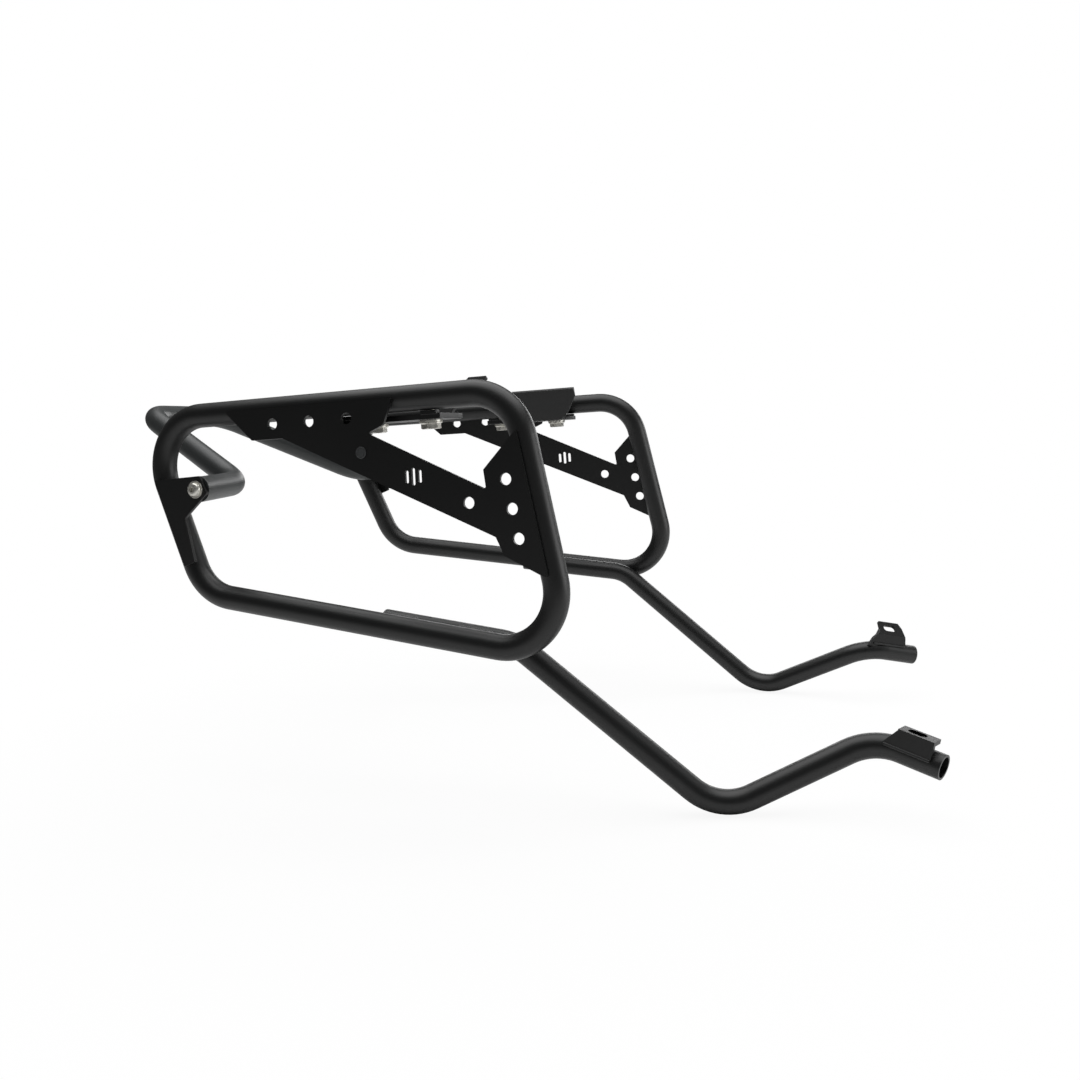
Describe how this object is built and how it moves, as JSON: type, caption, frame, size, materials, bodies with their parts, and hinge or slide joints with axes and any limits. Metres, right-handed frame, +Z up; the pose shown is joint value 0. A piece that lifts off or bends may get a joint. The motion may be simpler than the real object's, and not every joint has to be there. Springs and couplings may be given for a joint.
{
  "type": "motorcycle pannier frame",
  "caption": "Pair of bent-tube side frames with drilled plates, forward stays and slotted feet, joined behind by a bolted brace; holds side cases on a motorcycle.",
  "frame": {"origin": "midway between the two front frame bolts, level with the top faces of the bracket floors", "axes": "+X forward on the motorcycle, +Y to the rider's left, +Z up"},
  "size_m": [0.8607, 0.529, 0.4031],
  "materials": {
    "black_coat": "satin powder coat",
    "zinc": "bright zinc plate",
    "black_plastic": "matt"
  },
  "bodies": {
    "root": {"right_hoop": "black_coat", "left_hoop": "black_coat", "right_side_plate": "black_coat", "left_side_plate": "black_coat", "right_plate_plug": "black_plastic", "left_plate_plug": "black_plastic", "right_stay": "black_coat", "left_stay": "black_coat", "right_foot_bracket": "black_coat", "left_foot_bracket": "black_coat", "right_top_bracket": "black_coat", "left_top_bracket": "black_coat", "right_rear_clip": "black_coat", "left_rear_clip": "black_coat", "rear_brace": "black_coat", "right_brace_plug": "black_coat", "left_brace_plug": "black_coat", "right_brace_bolt": "zinc", "left_brace_bolt": "zinc", "right_brace_washer": "zinc", "left_brace_washer": "zinc", "right_front_bolt": "zinc", "right_rear_bolt": "zinc", "left_front_bolt": "zinc", "left_rear_bolt": "zinc", "right_front_washer": "zinc", "right_rear_washer": "zinc", "left_front_washer": "zinc", "left_rear_washer": "zinc"}
  },
  "joints": []
}
